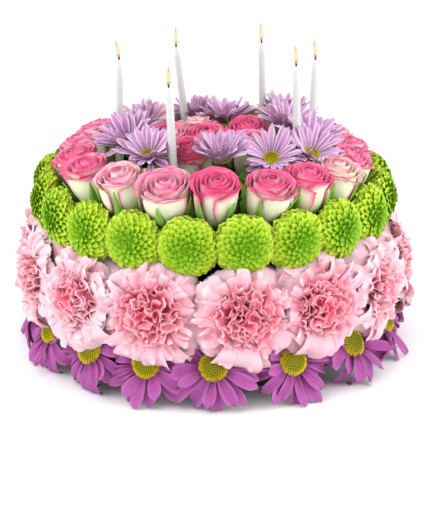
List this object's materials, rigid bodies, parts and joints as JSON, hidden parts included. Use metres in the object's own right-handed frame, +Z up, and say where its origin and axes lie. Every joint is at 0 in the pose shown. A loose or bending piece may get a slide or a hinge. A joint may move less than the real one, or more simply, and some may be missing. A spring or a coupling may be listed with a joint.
{
  "type": "birthday flower cake with candles",
  "caption": "Round birthday cake made of rings of fresh flower heads on a foam block, with slim taper candles standing among the roses and daisies on top.",
  "frame": {"origin": "centre of the foam's flat underside, on the plate or table it stands on", "axes": "+Z up along the cake's middle line, -Y towards the front of the cake, +X to its right as seen from the front"},
  "size_m": [0.2703, 0.2707, 0.201],
  "materials": {
    "floral_foam": "dark green, open-celled, matt",
    "purple_petal": "soft purple petals round a yellow-green disc",
    "lilac_petal": "soft lilac petals with pale backs round a yellow-green disc",
    "carnation_pink": "frilled pink petals, paler at the edges",
    "button_green": "tight lime green petals",
    "rose_petal": "smooth cream petals with hot pink edges",
    "candle_wax": "white wax, smooth, satin"
  },
  "bodies": {
    "root": {"foam_core": "floral_foam", "candle_1": "candle_wax", "candle_2": "candle_wax", "candle_3": "candle_wax", "candle_4": "candle_wax", "candle_5": "candle_wax", "candle_6": "candle_wax", "carnation_01": "carnation_pink", "carnation_02": "carnation_pink", "carnation_03": "carnation_pink", "carnation_04": "carnation_pink", "carnation_05": "carnation_pink", "carnation_06": "carnation_pink", "carnation_07": "carnation_pink", "carnation_08": "carnation_pink", "carnation_09": "carnation_pink", "carnation_10": "carnation_pink", "carnation_11": "carnation_pink", "carnation_12": "carnation_pink", "carnation_13": "carnation_pink", "lower_daisy_01": "purple_petal", "lower_daisy_02": "purple_petal", "lower_daisy_03": "purple_petal", "lower_daisy_04": "purple_petal", "lower_daisy_05": "purple_petal", "lower_daisy_06": "purple_petal", "lower_daisy_07": "purple_petal", "lower_daisy_08": "purple_petal", "lower_daisy_09": "purple_petal", "lower_daisy_10": "purple_petal", "lower_daisy_11": "purple_petal", "lower_daisy_12": "purple_petal", "lower_daisy_13": "purple_petal", "lower_daisy_14": "purple_petal", "lower_daisy_15": "purple_petal", "button_ring": "button_green", "rose_ring": "rose_petal", "inner_rose_01": "rose_petal", "inner_rose_02": "rose_petal", "inner_rose_03": "rose_petal", "inner_rose_04": "rose_petal", "inner_rose_05": "rose_petal", "inner_rose_06": "rose_petal", "inner_rose_07": "rose_petal", "top_daisy_01": "lilac_petal", "top_daisy_02": "lilac_petal", "top_daisy_03": "lilac_petal", "top_daisy_04": "lilac_petal", "top_daisy_05": "lilac_petal", "top_daisy_06": "lilac_petal", "top_daisy_07": "lilac_petal", "top_daisy_08": "lilac_petal", "top_daisy_09": "lilac_petal", "top_daisy_10": "lilac_petal", "top_daisy_11": "lilac_petal"}
  },
  "joints": []
}
